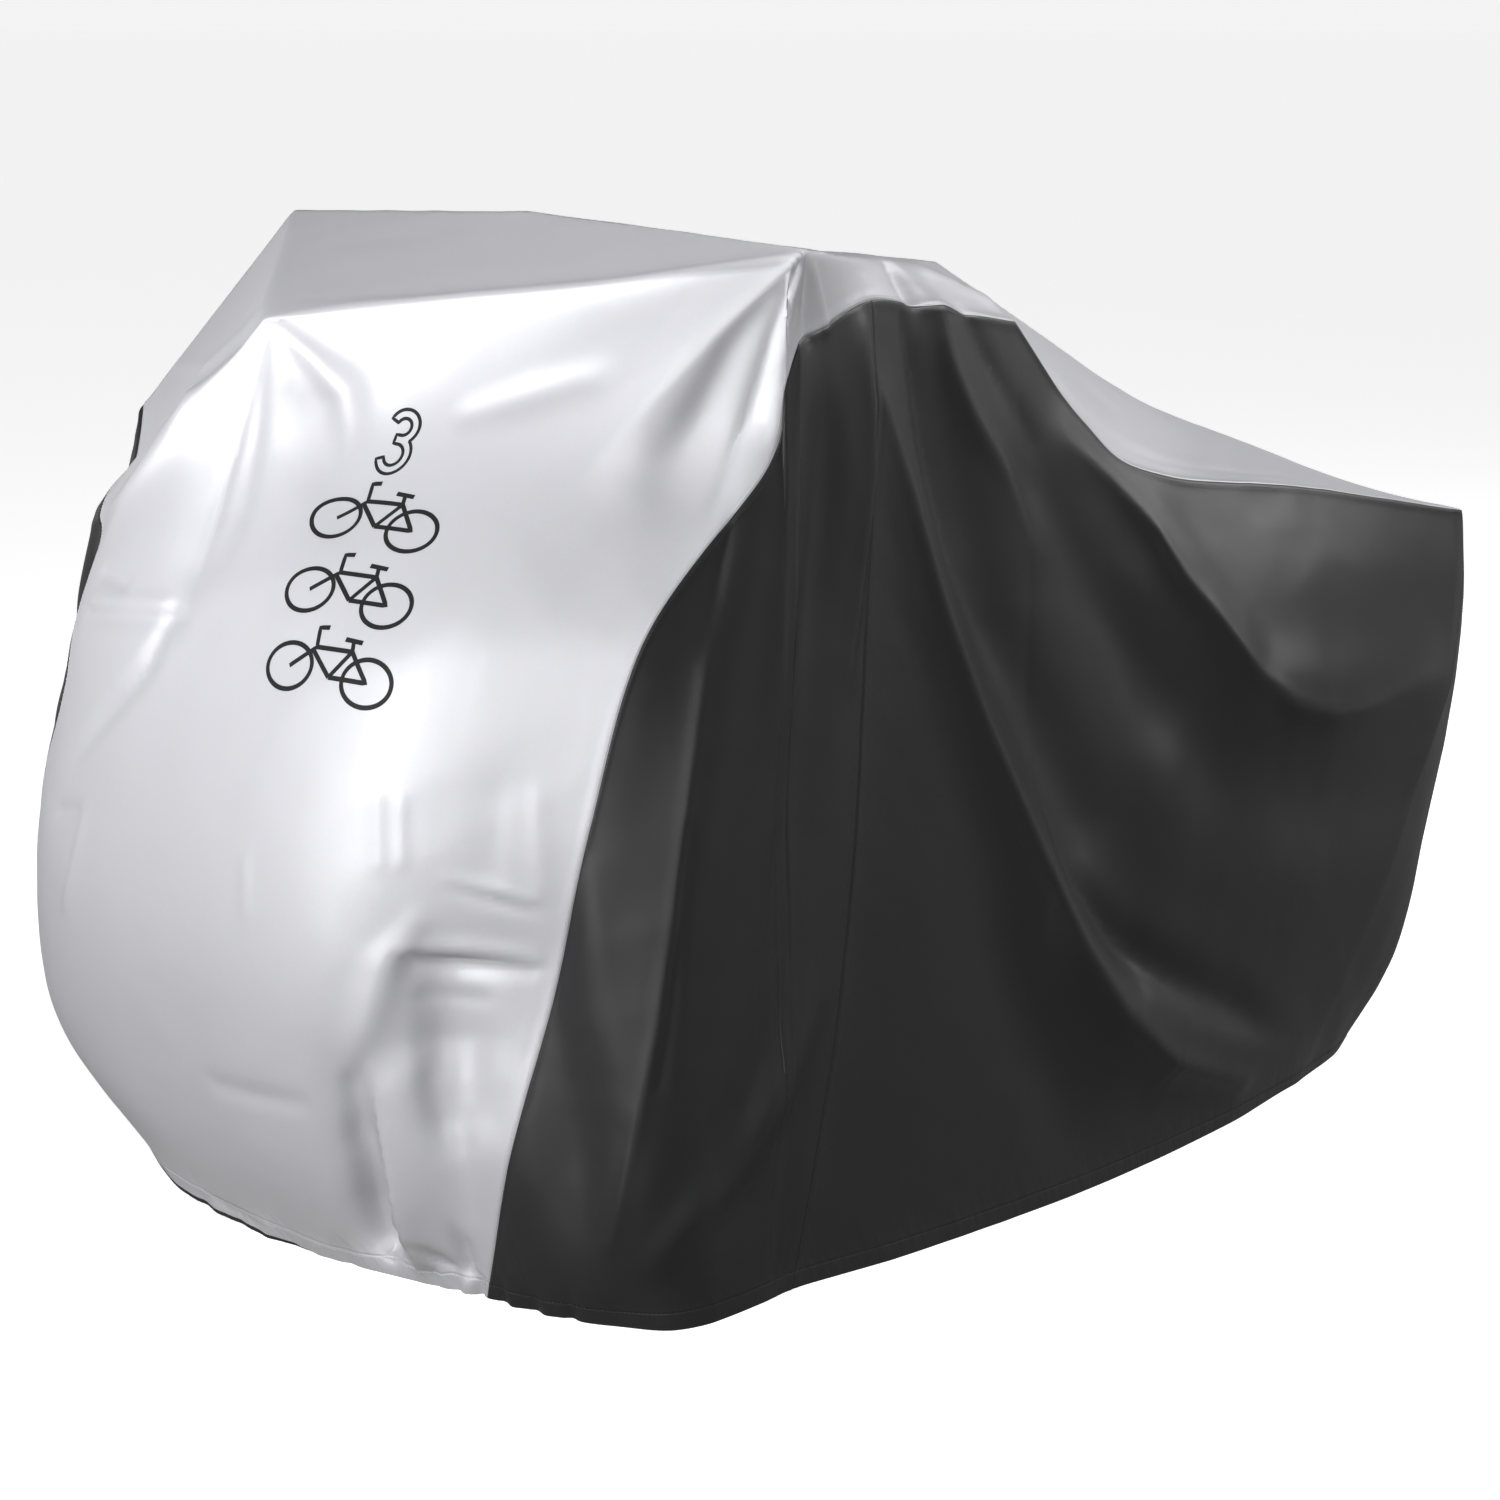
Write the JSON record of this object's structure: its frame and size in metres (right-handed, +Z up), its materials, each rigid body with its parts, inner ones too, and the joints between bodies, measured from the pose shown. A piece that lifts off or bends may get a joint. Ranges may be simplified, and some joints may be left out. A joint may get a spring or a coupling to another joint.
{
  "type": "bicycle cover",
  "caption": "Draped protective cover for bicycles: silver centre panel from front hem to rear hem, black side panels, elastic hem; hollow, open below.",
  "frame": {"origin": "middle of the underside of the cover's box, on the ground", "axes": "-Y is the front, where the cover hangs over the handlebars; +X is the side whose handlebar end stands higher; +Z is up"},
  "size_m": [1.159, 1.864, 1.1056],
  "materials": {
    "silver_cloth": "silver-coated woven polyester, satin sheen",
    "black_cloth": "black woven polyester, dull sheen",
    "elastic": "black woven elastic tape, matt"
  },
  "bodies": {
    "root": {"silver_panel": "silver_cloth", "near_front_panel": "black_cloth", "near_rear_panel": "black_cloth", "far_front_panel": "black_cloth", "far_rear_panel": "black_cloth", "hem_elastic": "elastic"}
  },
  "joints": []
}
